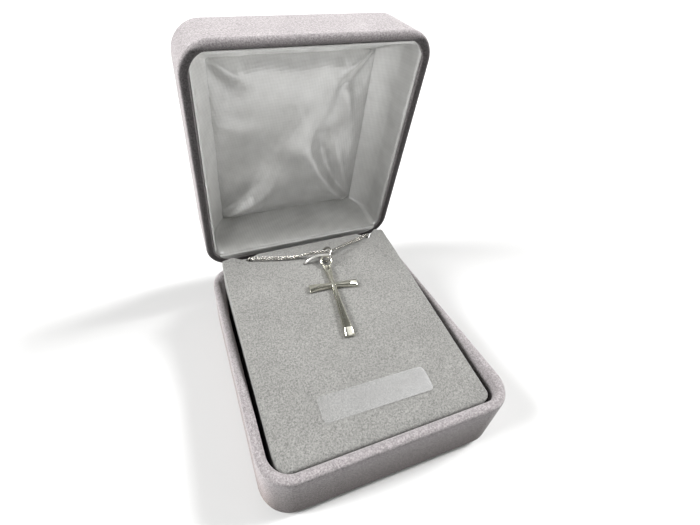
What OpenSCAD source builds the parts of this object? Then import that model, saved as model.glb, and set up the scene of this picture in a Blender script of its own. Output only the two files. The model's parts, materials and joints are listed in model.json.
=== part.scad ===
// Cross necklace on a flocked card pad, in a hinged gift box with a satin-lined lid.
// The origin is the middle of the tray's underside: X runs to the right, Y to the back, Z up.
// The lid is drawn standing open. Sizes are in millimetres and angles in degrees.

/* [Box] */
// Outside width of tray and lid
box_w = 66; // [66:0.5:72]
// Outside depth of tray and lid, front to back
box_d = 71; // [71:0.5:76]
// Height of the tray
base_h = 19.5; // [19:0.5:22]
// Height of the lid
lid_h = 19.5; // [19.5:0.5:24]
// Radius of the upright corners
corner_r = 8; // [7.5:0.5:8]
// Radius of the edge round the tray's underside and the lid's top
edge_r = 3; // [2.6:0.1:3.5]
// Thickness of the flocked walls
wall_t = 2.5; // [2:0.1:2.5]
// Thickness of the tray's floor and the lid's top
floor_t = 2.2; // [1.6:0.1:2.2]
// Gap between the two rims when the lid is shut
rim_gap = 0.4; // [0.3:0.1:0.8]
// How far the lid stands open
open_deg = 84; // [0:1:84]

/* [Hinge] */
// Length of the hinge along the back
hinge_w = 26; // [20:1:34]
// Length of the middle knuckle, which belongs to the lid
mid_knuckle_w = 10; // [6:1:12]
// Outer radius of the knuckles
knuckle_r = 1.2; // [1.1:0.05:1.3]
// Radius of the hinge pin
pin_r = 0.6; // [0.5:0.05:0.7]
// Thickness of the leaves
leaf_t = 0.5; // [0.4:0.05:0.5]
// Height of the leg of each leaf inside its wall
leaf_leg = 9; // [6:0.5:10]

/* [Pad] */
// Width of the card pad
pad_w = 57; // [54:0.5:57]
// How far the pad sits to the right of the middle
pad_x = -0.8; // [-0.8:0.1:0.5]
// How far the pad's front edge lies below the rim
pad_drop = 1.9; // [1.5:0.1:3]
// How far the pad's back edge stands above the rim
pad_rise = 8.7; // [7:0.1:8.8]
// Thickness of the flocked card
card_t = 1.2; // [1:0.1:1.3]
// Length of the slit at each back corner
slit_len = 8; // [7:0.5:9]
// Width of the slits
slit_w = 0.8; // [0.6:0.1:1]

/* [Label] */
// Width of the clear label
label_w = 30; // [26:0.5:32]
// Height of the clear label
label_h = 6.4; // [5:0.1:7]
// Thickness of the clear label
label_t = 0.15; // [0.1:0.05:0.3]

/* [Cross] */
// Length of each side arm from the middle
side_arm = 7.5; // [6:0.1:8]
// Length of the upper arm from the middle
top_arm = 7.6; // [7.4:0.1:7.7]
// Length of the lower arm from the middle
low_arm = 17.1; // [14:0.1:18]
// Width of the side arms at their tips
side_tip = 2.6; // [2:0.1:3]
// Width of the upper arm at its tip
top_tip = 2.7; // [2:0.1:3]
// Width of the lower arm at its tip
low_tip = 3.1; // [2.4:0.1:3.4]
// Width of the arms where they meet
waist = 1.3; // [1.1:0.1:1.6]
// Thickness of the cross in the middle
cross_t = 1.5; // [1.2:0.1:1.6]
// Thickness of the arms at their tips
tip_t = 0.95; // [0.8:0.05:1.1]
// Length of the sloping facet at each tip
facet_len = 2.3; // [1.5:0.1:2.6]

/* [Rings and chain] */
// Outer diameter of the eyelet that is soldered to the cross
eyelet_d = 4; // [3.8:0.1:4.2]
// Wire of the eyelet
eyelet_wire = 0.7; // [0.6:0.05:0.75]
// Outer diameter of the jump ring
ring_d = 5.2; // [5.1:0.1:5.3]
// Wire of the jump ring
ring_wire = 0.8; // [0.7:0.05:0.85]
// Wire that pins the jump ring down
staple_d = 0.75; // [0.6:0.05:0.8]
// Width of the curb chain
chain_d = 1.4; // [1.2:0.1:1.4]

/* [Hidden] */
$fn = 48;
half_w = box_w / 2;
half_d = box_d / 2;
axis_y = half_d;
axis_z = base_h + rim_gap / 2;
// Small gap between pieces that lie against each other
fit_gap = 0.1;
// Hinge: the notch in the rims, the leaves' plates under and behind the axis, and the play
notch_h = knuckle_r + 2 * fit_gap - rim_gap / 2;
notch_side = 0.4;
plate_z = rim_gap / 2 + 4 * fit_gap;
plate_y = knuckle_r + 0.25;
tongue_y = 0.4;
knuckle_gap = 0.3;
pin_play = 0.05;
pin_seat = 0.01;

// Sloping pad: its front and back top edges, and the slope between them
pad_front_gap = 0.65;
pad_back_gap = 4.1;
pad_front_y = -half_d + wall_t + pad_front_gap;
pad_front_z = base_h - pad_drop;
pad_back_y = half_d - wall_t - pad_back_gap;
pad_back_z = base_h + pad_rise;
pad_slope = atan2(pad_back_z - pad_front_z, pad_back_y - pad_front_y);
pad_foot_z = floor_t + fit_gap;
pad_front_r = 3;
pad_back_r = 1.5;
// Slits on the pad: middle across and up the slope, turn, then where the chain goes through
slits = [
    [-23.3, 61.0, -30, -20.9, 60.2],
    [23.4, 61.7, 38, 20.9, 60.0]
];
chain_hole_r = 1.15;
staple_holes = [[-4.1, 53.9], [4.6, 53.3]];
staple_hole_r = 0.6;

// Label on the pad
label_at = [-0.6, 9.9];
label_turn = -1;
label_r = 1.2;
label_gap = 0.05;

// Cross on the pad: place, lean, lift and the tilt of its eyelet
cross_at = [1.15, 43.1];
cross_turn = 6.3;
cross_lift = 0.2;
flare_power = 1.7;
edge_bevel = 0.3;
arm_stations = [0, 0.25, 0.45, 0.6];
facet_bend = 0.55;
eyelet_tilt = 15;
solder = 0.15;

// Jump ring on the pad
ring_at = [2.9, 53.9];
ring_lean = 27;
ring_lift = 0.05;

// Lining of the lid: depth from the rim, then the inset at the sides, at the hinge
// and at the front, and the corner radius
lining_t = 0.7;
layer_t = 0.02;
lining_rows = [
    [0.6, 3.3, 4.4, 3.3, 4.6],
    [8.9, 3.3, 5.2, 5.0, 3.0],
    [12.5, 5.2, 6.2, 6.8, 1.8],
    [15.8, 8.1, 7.2, 8.9, 0.6]
];
// Cushion at the lining's foot, with the same columns
cushion_rows = [
    [14.0, 18.0, 18.0, 20.0, 6.0],
    [14.8, 12.0, 12.0, 13.0, 4.0],
    [16.1, 8.6, 7.8, 9.4, 1.0]
];
cushion_back_rows = [
    [16.0, 5.6, 5.2, 5.8, 3.0],
    [17.1, 5.6, 5.2, 5.8, 3.0]
];

// Clasp in the hidden stretch, flat on the tray's floor
clasp_at = [0, -28.2, 3.0];
clasp_r = 2.1;
clasp_wire = 1.3;
clasp_loop_r = 0.75;
clasp_loop_wire = 0.6;
clasp_loop_x = 3.4;

// Chain inside the tray, from the clasp once round and on to the right slit
chain_first = [
    [4.65, -28.4, 3], [10, -28.6, 3], [17, -28.6, 3], [21.5, -27.2, 3], [24.4, -23.6, 3],
    [25.2, -18, 3], [25.2, -8, 3], [25.2, 2, 3], [25.2, 12, 3], [24.9, 18, 3],
    [22.6, 22.6, 3], [18, 24.9, 3], [9, 25.3, 3], [-2, 25.3, 3], [-13, 25.3, 3],
    [-19, 24.6, 3], [-23.2, 21.6, 3], [-25, 16.4, 3], [-25.2, 7, 3], [-25.2, -4, 3],
    [-25.2, -14, 3], [-24.4, -19.6, 3], [-21.4, -23.3, 3], [-16, -24.6, 3], [-6, -24.6, 3],
    [5, -24.6, 3], [14, -24.6, 3], [19.4, -23, 3], [22.4, -19.2, 3], [23.2, -13, 3],
    [23.4, -4, 3], [23.4, 3, 3.4], [23.2, 8, 5.4], [22.8, 12.5, 9], [22.2, 17, 14],
    [21.6, 21, 19], [21.1, 24.2, 23.4]
];
// Chain over the pad, as place across, place up the slope and height over the card
chain_middle = [
    [20.9, 60.1, -1.3], [20.8, 60.1, 0.2], [20, 59.7, 1], [18, 59.0, 1.25],
    [15, 57.95, 1.6], [12, 57.0, 1.95], [9.2, 56.1, 2.3], [6.8, 55.35, 2.6], [4.9, 54.8, 2.85],
    [3.2, 54.5, 3], [1.6, 54.9, 2.85], [-0.2, 55.5, 2.4], [-2.6, 56.2, 1.7],
    [-5.4, 56.8, 1.1], [-8.5, 57.2, 0.85], [-12, 57.9, 0.8], [-15.5, 58.7, 0.8],
    [-18, 59.3, 0.85], [-20, 59.9, 1], [-20.8, 60.2, 0.2], [-20.9, 60.2, -1.3]
];
// Chain inside the tray, from the left slit back to the clasp
chain_last = [
    [-22.2, 24.4, 23.4], [-23.2, 21.6, 18.4], [-24.6, 17.6, 12.6], [-26, 13, 7.4],
    [-26.9, 8, 4.2], [-27.1, 2, 3.1], [-27.1, -8, 3], [-27.1, -17, 3], [-26.2, -22.4, 3],
    [-23.2, -26.6, 3], [-18, -28.5, 3], [-10, -28.6, 3], [-4.65, -28.4, 3]
];
chain_sides = 8;
// Wire that pins the ring, over the pad in the same terms as the chain
staple_route = [
    [-4.1, 53.9, -2.6], [-4.1, 53.9, -1], [-4.0, 53.9, 0], [-3.5, 53.95, 0.9],
    [-2.4, 54.05, 1.7], [-1, 54.1, 2.3], [0.4, 53.95, 2.75], [1.6, 53.6, 3],
    [2.6, 53.3, 3.05], [3.3, 53.2, 2.9], [3.9, 53.25, 2.6], [4.4, 53.3, 1.9],
    [4.6, 53.3, 1], [4.6, 53.3, 0], [4.6, 53.3, -1.2], [4.6, 53.3, -2.6]
];
staple_sides = 8;

flock_colour = [0.66, 0.64, 0.66];
card_colour = [0.66, 0.66, 0.64];
satin_colour = [0.84, 0.84, 0.83];
silver_colour = [0.80, 0.80, 0.77];
steel_colour = [0.55, 0.56, 0.57];

function unit(v) = v / norm(v);

// A point given on the pad, as a point of the whole
function pad_point(p) = [
    p[0],
    pad_front_y + p[1] * cos(pad_slope) - p[2] * sin(pad_slope),
    pad_front_z + p[1] * sin(pad_slope) + p[2] * cos(pad_slope)
];

// Directions along a route, and a side vector carried along it without twist
function route_dirs(route) = [
    for (i = [0 : len(route) - 1])
        unit(route[min(i + 1, len(route) - 1)] - route[max(i - 1, 0)])
];
function route_sides(dirs, i, last) =
    i == len(dirs) ? [] :
    let (side = unit(last - (last * dirs[i]) * dirs[i]))
    concat([side], route_sides(dirs, i + 1, side));

// Rings of points round a route, for a tube of radius r with n sides
function tube_rings(route, r, n) =
    let (dirs = route_dirs(route), sides = route_sides(dirs, 0, [0, 0, 1]))
    [
        for (i = [0 : len(route) - 1])
            let (out = cross(sides[i], dirs[i]))
            [
                for (k = [0 : n - 1])
                    let (turn = k * 360 / n)
                    route[i] + r * (cos(turn) * sides[i] + sin(turn) * out)
            ]
    ];

// Closed skin through equal rings of points
module skin(rings) {
    n = len(rings[0]);
    last = len(rings) - 1;
    polyhedron(
        points = [for (ring = rings) each ring],
        faces = concat(
            [[for (k = [n - 1 : -1 : 0]) k]],
            [for (i = [0 : last - 1], k = [0 : n - 1])
                each [[i * n + k, i * n + (k + 1) % n, (i + 1) * n + (k + 1) % n],
                      [i * n + k, (i + 1) * n + (k + 1) % n, (i + 1) * n + k]]],
            [[for (k = [0 : n - 1]) last * n + k]]
        )
    );
}

module on_pad() {
    translate([0, pad_front_y, pad_front_z]) rotate([pad_slope, 0, 0]) children();
}

// Moves what is drawn round the hinge axis as if the lid were shut to where it stands
module in_lid() {
    translate([0, axis_y, axis_z]) rotate([-open_deg, 0, 0]) children();
}

// Rectangle from the left, front corner to the right, back corner with rounded corners
module rounded_rect(x0, x1, y0, y1, front_r, back_r) {
    translate([x0, y0 + front_r]) square([x1 - x0, y1 - y0 - front_r - back_r]);
    translate([x0 + front_r, y0]) square([x1 - x0 - 2 * front_r, front_r]);
    translate([x0 + back_r, y1 - back_r]) square([x1 - x0 - 2 * back_r, back_r]);
    for (x = [x0 + front_r, x1 - front_r]) translate([x, y0 + front_r]) circle(r = front_r);
    for (x = [x0 + back_r, x1 - back_r]) translate([x, y1 - back_r]) circle(r = back_r);
}

// Section through a wall from the outside in, with its round rim and bottom edge
module wall_section(h) {
    intersection() {
        union() {
            square([wall_t, h - wall_t / 2]);
            square([corner_r, floor_t]);
        }
        union() {
            translate([0, edge_r]) square([corner_r, h]);
            translate([edge_r, 0]) square([corner_r - edge_r, h]);
            translate([edge_r, edge_r]) circle(r = edge_r);
        }
    }
    translate([wall_t / 2, h - wall_t / 2]) circle(d = wall_t);
}

// Open shell with rounded corners, drawn with its opening up
module flocked_shell(h) {
    long = [box_w - 2 * corner_r, box_d - 2 * corner_r];
    reach = [half_d, half_w];
    for (i = [0 : 3])
        rotate([0, 0, 90 * i]) translate([-long[i % 2] / 2, -reach[i % 2], 0])
            rotate([90, 0, 90]) linear_extrude(long[i % 2]) wall_section(h);
    for (i = [0 : 3])
        translate([(i == 0 || i == 3 ? 1 : -1) * long[0] / 2, (i < 2 ? 1 : -1) * long[1] / 2, 0])
            rotate([0, 0, 90 * i]) rotate_extrude(angle = 90)
                translate([corner_r, 0]) mirror([1, 0]) wall_section(h);
    translate([-long[0] / 2, -long[1] / 2, 0]) cube([long[0], long[1], floor_t]);
}

// The same shell with the hinge's notch in its back rim
module notched_shell(h) {
    difference() {
        flocked_shell(h);
        translate([-hinge_w / 2 - notch_side, half_d - wall_t - 1, h - notch_h])
            cube([hinge_w + 2 * notch_side, wall_t + 2, notch_h + 1]);
    }
}

module tray() {
    color(flock_colour) notched_shell(base_h);
}

module lid_shell() {
    color(flock_colour) in_lid()
        translate([0, -half_d, rim_gap / 2 + lid_h]) mirror([0, 0, 1]) notched_shell(lid_h);
}

// Leaf of the hinge, under the axis, with a knuckle for each span along it
module hinge_leaf(spans, bore_r) {
    plate_depth = wall_t + fit_gap + leaf_t - plate_y;
    leg_y = -plate_y - plate_depth;
    difference() {
        union() {
            for (s = spans) {
                translate([s[0], 0, 0]) rotate([0, 90, 0]) cylinder(r = knuckle_r, h = s[1] - s[0]);
                translate([s[0], -plate_y - fit_gap, -plate_z - leaf_t])
                    cube([s[1] - s[0], plate_y + fit_gap - tongue_y, leaf_t]);
            }
            translate([-hinge_w / 2, leg_y, -plate_z - leaf_t]) cube([hinge_w, plate_depth, leaf_t]);
            translate([-hinge_w / 2, leg_y, -leaf_leg]) cube([hinge_w, leaf_t, leaf_leg - plate_z]);
        }
        rotate([0, 90, 0]) cylinder(r = bore_r, h = hinge_w + 2, center = true);
    }
}

module hinge_leaf_base() {
    near = mid_knuckle_w / 2 + knuckle_gap;
    color(steel_colour) translate([0, axis_y, axis_z])
        hinge_leaf([[-hinge_w / 2, -near], [near, hinge_w / 2]], pin_r + pin_seat);
}

module hinge_leaf_lid() {
    color(steel_colour) in_lid() mirror([0, 0, 1])
        hinge_leaf([[-mid_knuckle_w / 2, mid_knuckle_w / 2]], pin_r + pin_play);
}

module hinge_pin() {
    color(steel_colour) translate([0, axis_y, axis_z])
        rotate([0, 90, 0]) cylinder(r = pin_r, h = hinge_w, center = true);
}

// Solid under the sloping top, moved in from the outside by inset and down by drop
module pad_solid(inset, drop) {
    foot = pad_foot_z - (inset > 0 ? 1 : 0);
    left = pad_x - pad_w / 2 + inset;
    right = pad_x + pad_w / 2 - inset;
    intersection() {
        translate([0, 0, foot]) linear_extrude(pad_back_z)
            rounded_rect(left, right, pad_front_y + inset, pad_back_y - inset,
                         pad_front_r - inset, pad_back_r - inset);
        rotate([90, 0, 90]) translate([0, 0, -half_w]) linear_extrude(box_w)
            polygon([
                [pad_front_y - 1, foot],
                [pad_back_y + 1, foot],
                [pad_back_y + 1, pad_back_z - drop + tan(pad_slope)],
                [pad_front_y - 1, pad_front_z - drop - tan(pad_slope)]
            ]);
    }
}

module pad() {
    color(card_colour) difference() {
        pad_solid(0, 0);
        pad_solid(card_t, card_t / cos(pad_slope));
        on_pad() for (slit = slits) {
            translate([slit[0], slit[1], 0]) rotate([0, 0, slit[2]])
                cube([slit_len, slit_w, 4 * card_t], center = true);
            translate([slit[3], slit[4], -2 * card_t]) cylinder(r = chain_hole_r, h = 4 * card_t);
        }
        on_pad() for (p = staple_holes)
            translate([p[0], p[1], -2 * card_t]) cylinder(r = staple_hole_r, h = 4 * card_t);
    }
}

module label() {
    color(satin_colour) on_pad()
        translate([label_at[0], label_at[1], label_gap]) rotate([0, 0, label_turn])
            linear_extrude(label_t)
                rounded_rect(-label_w / 2, label_w / 2, -label_h / 2, label_h / 2, label_r, label_r);
}

// Flared arm along Y: flat underneath, with bevelled top edges and a sloping end facet
module cross_arm(length, tip) {
    stations = concat([-waist / 2], length * arm_stations,
                      [length - facet_len, length - facet_bend * facet_len, length]);
    skin([
        for (s = stations)
            let (
                flare = s > 0 ? pow(s / length, flare_power) : 0,
                half = (waist + (tip - waist) * flare) / 2,
                drop = s > length - facet_len ? (s - length + facet_len) / facet_len : 0,
                top = cross_t - (cross_t - tip_t) * drop
            )
            [[half, s, 0], [half, s, top - edge_bevel], [half - edge_bevel, s, top],
             [-half + edge_bevel, s, top], [-half, s, top - edge_bevel], [-half, s, 0]]
    ]);
}

module cross_eyelet() {
    ring_r = (eyelet_d - eyelet_wire) / 2;
    translate([0, top_arm - solder, cross_t / 2]) rotate([eyelet_tilt, 0, 0])
        translate([0, ring_r, 0]) rotate_extrude() translate([ring_r, 0]) circle(d = eyelet_wire);
}

module cross() {
    color(silver_colour) on_pad()
        translate([cross_at[0], cross_at[1], cross_lift]) rotate([0, 0, -cross_turn]) {
            cross_arm(top_arm, top_tip);
            rotate([0, 0, 90]) cross_arm(side_arm, side_tip);
            rotate([0, 0, 180]) cross_arm(low_arm, low_tip);
            rotate([0, 0, 270]) cross_arm(side_arm, side_tip);
            cross_eyelet();
        }
}

module jump_ring() {
    mid_r = (ring_d - ring_wire) / 2;
    ring_h = ring_lift + ring_wire / 2 + mid_r * cos(ring_lean);
    color(silver_colour) on_pad() translate([ring_at[0], ring_at[1], ring_h])
        rotate([0, 90 + ring_lean, 0]) rotate_extrude() translate([mid_r, 0]) circle(d = ring_wire);
}

module holding_wire() {
    route = [for (p = staple_route) pad_point(p)];
    color(silver_colour) skin(tube_rings(route, staple_d / 2, staple_sides));
}

module chain() {
    route = concat(chain_first, [for (p = chain_middle) pad_point(p)], chain_last);
    color(silver_colour) skin(tube_rings(route, chain_d / 2, chain_sides));
}

// Spring ring with a small loop on each side for the chain's ends
module clasp() {
    color(silver_colour) translate(clasp_at) {
        rotate_extrude() translate([clasp_r, 0]) circle(d = clasp_wire);
        for (side = [-1, 1])
            translate([side * clasp_loop_x, 0, 0])
                rotate_extrude() translate([clasp_loop_r, 0]) circle(d = clasp_loop_wire);
    }
}

// Solid hull through rows of depth, insets and corner radius, in the shut lid
module lid_stack(rows, grow) {
    hull() for (row = rows)
        translate([0, -half_d, rim_gap / 2 + row[0]]) linear_extrude(layer_t)
            rounded_rect(-half_w + row[1] - grow, half_w - row[1] + grow,
                         -half_d + row[3] - grow, half_d - row[2] + grow,
                         row[4] + grow, row[4] + grow, $fn = 32);
}

module lid_lining() {
    first = lining_rows[0];
    last = lining_rows[len(lining_rows) - 1];
    past = 0.05;
    color(satin_colour) in_lid() difference() {
        lid_stack(lining_rows, lining_t);
        lid_stack(lining_rows, 0);
        lid_stack([first, [first[0] - past, first[1], first[2], first[3], first[4]]], 0);
        lid_stack([last, [last[0] + past, last[1], last[2], last[3], last[4]]], 0);
    }
}

module lid_panel() {
    color(satin_colour) in_lid() {
        lid_stack(cushion_rows, 0);
        lid_stack(cushion_back_rows, 0);
    }
}

tray();
hinge_leaf_base();
hinge_pin();
pad();
label();
chain();
clasp();
jump_ring();
cross();
holding_wire();
lid_shell();
lid_lining();
lid_panel();
hinge_leaf_lid();
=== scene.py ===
"""Looks of the cross necklace in its hinged gift box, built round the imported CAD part.

Everything is in metres, in the part's own frame: X to the right, Y to the back, Z up.
Tables of points are written in millimetres and turned into metres where they are used. So are
the shapes of the cross, the lining and the cushion, where their sections say so.
"""

import json
import math

import bmesh
import bpy
import numpy as np
from mathutils import Matrix, Vector


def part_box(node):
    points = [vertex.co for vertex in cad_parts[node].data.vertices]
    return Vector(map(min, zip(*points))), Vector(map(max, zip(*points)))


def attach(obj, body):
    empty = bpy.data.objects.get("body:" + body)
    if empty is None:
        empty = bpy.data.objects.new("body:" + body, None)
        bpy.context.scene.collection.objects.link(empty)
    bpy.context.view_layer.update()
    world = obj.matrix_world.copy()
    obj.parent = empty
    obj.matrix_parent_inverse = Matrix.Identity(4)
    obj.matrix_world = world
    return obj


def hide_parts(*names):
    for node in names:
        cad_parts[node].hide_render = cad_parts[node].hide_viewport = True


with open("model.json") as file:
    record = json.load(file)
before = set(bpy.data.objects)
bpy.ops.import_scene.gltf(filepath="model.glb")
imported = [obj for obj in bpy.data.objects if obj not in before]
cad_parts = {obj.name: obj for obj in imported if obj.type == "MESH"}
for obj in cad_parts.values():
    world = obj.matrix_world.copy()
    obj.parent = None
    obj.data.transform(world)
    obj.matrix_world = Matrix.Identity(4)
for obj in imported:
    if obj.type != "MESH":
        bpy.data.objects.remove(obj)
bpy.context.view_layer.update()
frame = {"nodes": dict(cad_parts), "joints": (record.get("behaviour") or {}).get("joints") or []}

MM = 0.001
BASE = "base"
LID = "lid"

# Pad: its top slopes up from the front edge to the back edge of its CAD box
pad_low, pad_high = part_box("pad")
PAD_FRONT_Z = 0.0176
PAD_SLOPE = math.atan2(pad_high.z - PAD_FRONT_Z, pad_high.y - pad_low.y)
PAD_CARD = 0.0012
PAD_FRONT_R = 0.003
PAD_BACK_R = 0.0015
PAD_FOLD_R = 0.0007
on_pad = Matrix.Translation((0, pad_low.y, PAD_FRONT_Z)) @ Matrix.Rotation(PAD_SLOPE, 4, "X")
# Slits: middle across and up the slope, turn in degrees, then where the chain goes through
SLITS = [
    (-23.3, 61.0, -30, -20.9, 60.2),
    (23.4, 61.7, 38, 20.9, 60.0),
]
SLIT_LENGTH = 0.008
SLIT_WIDTH = 0.0008
CHAIN_HOLE_R = 0.00115
STAPLE_HOLES = [(-4.1, 53.9), (4.6, 53.3)]
STAPLE_HOLE_R = 0.0006

# Lid: the shut lid's own plane, turned about the hinge to where it stands at rest
hinge = frame["joints"][0]
LID_OPEN = math.radians(hinge["range_deg"][1])
in_lid = Matrix.Translation(hinge["pos_m"]) @ Matrix.Rotation(-LID_OPEN, 4, "X")
tray_low, tray_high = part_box("tray")
HALF_WIDTH = (tray_high.x - tray_low.x) / 2
BOX_DEPTH = tray_high.y - tray_low.y
RIM_HALF_GAP = 0.0002


# Mesh helpers

def skin(rings, wrap=False, caps=False):
    """Points and faces of a surface through equal closed rings of points."""
    rings = np.asarray(rings, float)
    count, around = rings.shape[:2]
    faces = []
    for i in range(count if wrap else count - 1):
        a, b = i * around, ((i + 1) % count) * around
        for k in range(around):
            n = (k + 1) % around
            faces.append((a + k, a + n, b + n, b + k))
    if caps:
        faces.append(tuple(range(around))[::-1])
        faces.append(tuple((count - 1) * around + k for k in range(around)))
    return rings.reshape(-1, 3), faces


def grid_faces(rows, columns):
    """Faces of a grid of points that is stored row by row."""
    return [
        (r * columns + c, r * columns + c + 1, (r + 1) * columns + c + 1, (r + 1) * columns + c)
        for r in range(rows - 1)
        for c in range(columns - 1)
    ]


def grid_rim(rows, columns):
    """Indices of the points round the edge of such a grid."""
    return (
        list(range(columns))
        + [r * columns + columns - 1 for r in range(1, rows)]
        + [(rows - 1) * columns + c for c in range(columns - 2, -1, -1)]
        + [r * columns for r in range(rows - 2, 0, -1)]
    )


def skirt_faces(above, below):
    """Faces between two equal closed rings of point indices."""
    around = len(above)
    return [
        (above[k], below[k], below[(k + 1) % around], above[(k + 1) % around])
        for k in range(around)
    ]


def joined(parts):
    """Several (points, faces) as one."""
    points, faces, start = [], [], 0
    for part_points, part_faces in parts:
        points.append(np.asarray(part_points, float))
        faces += [tuple(i + start for i in face) for face in part_faces]
        start += len(part_points)
    return np.concatenate(points), faces


def moved(matrix, points):
    """Points turned and shifted by a 4x4 matrix."""
    m = np.array(matrix)
    return np.asarray(points, float) @ m[:3, :3].T + m[:3, 3]


def plain_object(name, mesh):
    """A mesh in the scene, with its place in its points."""
    made = bpy.data.objects.new(name, mesh)
    bpy.context.scene.collection.objects.link(made)
    return made


def outward_mesh(name, points, faces, weld=0.0, open_up=False):
    """A mesh whose faces look outwards, or whose first face looks up where it is an open sheet."""
    mesh = bpy.data.meshes.new(name)
    mesh.from_pydata(np.asarray(points).tolist(), [], faces)
    work = bmesh.new()
    work.from_mesh(mesh)
    if weld:
        bmesh.ops.remove_doubles(work, verts=work.verts, dist=weld)
    bmesh.ops.recalc_face_normals(work, faces=work.faces)
    work.faces.ensure_lookup_table()
    if open_up and work.faces[0].normal.z < 0:
        bmesh.ops.reverse_faces(work, faces=work.faces)
    work.to_mesh(mesh)
    work.free()
    return mesh


def shade(mesh, sharp=None):
    """Smooth shading, which stops at edges that turn by more than the sharp angle in degrees."""
    mesh.shade_smooth()
    if sharp is not None:
        mesh.set_sharp_from_angle(angle=math.radians(sharp))


def make_piece(mesh, look, body, node, sharp=None):
    """A piece of the mesh's name that rides on a body and stands for a CAD node."""
    mesh.materials.append(look)
    shade(mesh, sharp)
    piece = plain_object(mesh.name, mesh)
    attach(piece, body)
    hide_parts(node)
    return piece


def work_in_modifiers(piece):
    """Makes the piece's mesh what its modifiers make of it."""
    depsgraph = bpy.context.evaluated_depsgraph_get()
    mesh = bpy.data.meshes.new_from_object(piece.evaluated_get(depsgraph))
    piece.modifiers.clear()
    piece.data = mesh


def unit(v):
    return v / np.linalg.norm(v)


def tube(path, radius, sides):
    """Points and faces of a round tube along a path."""
    path = np.asarray(path, float)
    ahead = np.gradient(path, axis=0)
    side = np.cross(ahead[0], (0.3, 0.5, 0.8))
    turn = np.linspace(0, 2 * math.pi, sides, endpoint=False)
    rings = []
    for point, step in zip(path, ahead):
        along = unit(step)
        side = unit(side - along * (side @ along))
        up = np.cross(along, side)
        rings.append(point + radius * (np.outer(np.cos(turn), side) + np.outer(np.sin(turn), up)))
    return skin(rings, caps=True)


def torus(ring_r, wire_r, around, sides):
    """Points and faces of a ring of wire round the Z axis."""
    roll = np.linspace(0, 2 * math.pi, sides, endpoint=False)
    reach = ring_r + wire_r * np.cos(roll)
    rings = [
        np.column_stack([reach * math.cos(a), reach * math.sin(a), wire_r * np.sin(roll)])
        for a in np.linspace(0, 2 * math.pi, around, endpoint=False)
    ]
    return skin(rings, wrap=True)


def smooth_path(points, steps=12):
    """A curve through all the points, close together, with no corners."""
    p = np.asarray(points, float)
    knots = np.concatenate([[0], np.cumsum(np.linalg.norm(np.diff(p, axis=0), axis=1))])
    slope = np.gradient(p, knots, axis=0)
    t = np.linspace(0, 1, steps, endpoint=False)[:, None]
    pieces = []
    for i in range(len(p) - 1):
        span = knots[i + 1] - knots[i]
        pieces.append(
            (2 * t ** 3 - 3 * t ** 2 + 1) * p[i]
            + (t ** 3 - 2 * t ** 2 + t) * span * slope[i]
            + (3 * t ** 2 - 2 * t ** 3) * p[i + 1]
            + (t ** 3 - t ** 2) * span * slope[i + 1]
        )
    return np.vstack(pieces + [p[-1:]])


def smooth_step(x, low, high):
    """0 below low, 1 above high, and an even curve between."""
    t = np.clip((x - low) / (high - low), 0, 1)
    return t * t * (3 - 2 * t)


def rounded_loop(x0, x1, y0, y1, radius, corner_points=12, side_points=12):
    """Points counterclockwise round a rectangle with rounded corners, from the front right corner."""
    centres = [
        (x1 - radius, y0 + radius, -90),
        (x1 - radius, y1 - radius, 0),
        (x0 + radius, y1 - radius, 90),
        (x0 + radius, y0 + radius, 180),
    ]
    loop = []
    for i, (cx, cy, start) in enumerate(centres):
        turn = np.radians(start + np.linspace(0, 90, corner_points))
        arc = np.column_stack([cx + radius * np.cos(turn), cy + radius * np.sin(turn)])
        nx, ny, begin = centres[(i + 1) % 4]
        after = (nx + radius * math.cos(math.radians(begin)), ny + radius * math.sin(math.radians(begin)))
        share = np.linspace(0, 1, side_points + 2)[1:-1, None]
        loop += [arc, arc[-1] * (1 - share) + np.array(after) * share]
    return np.vstack(loop)


# Materials

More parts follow.
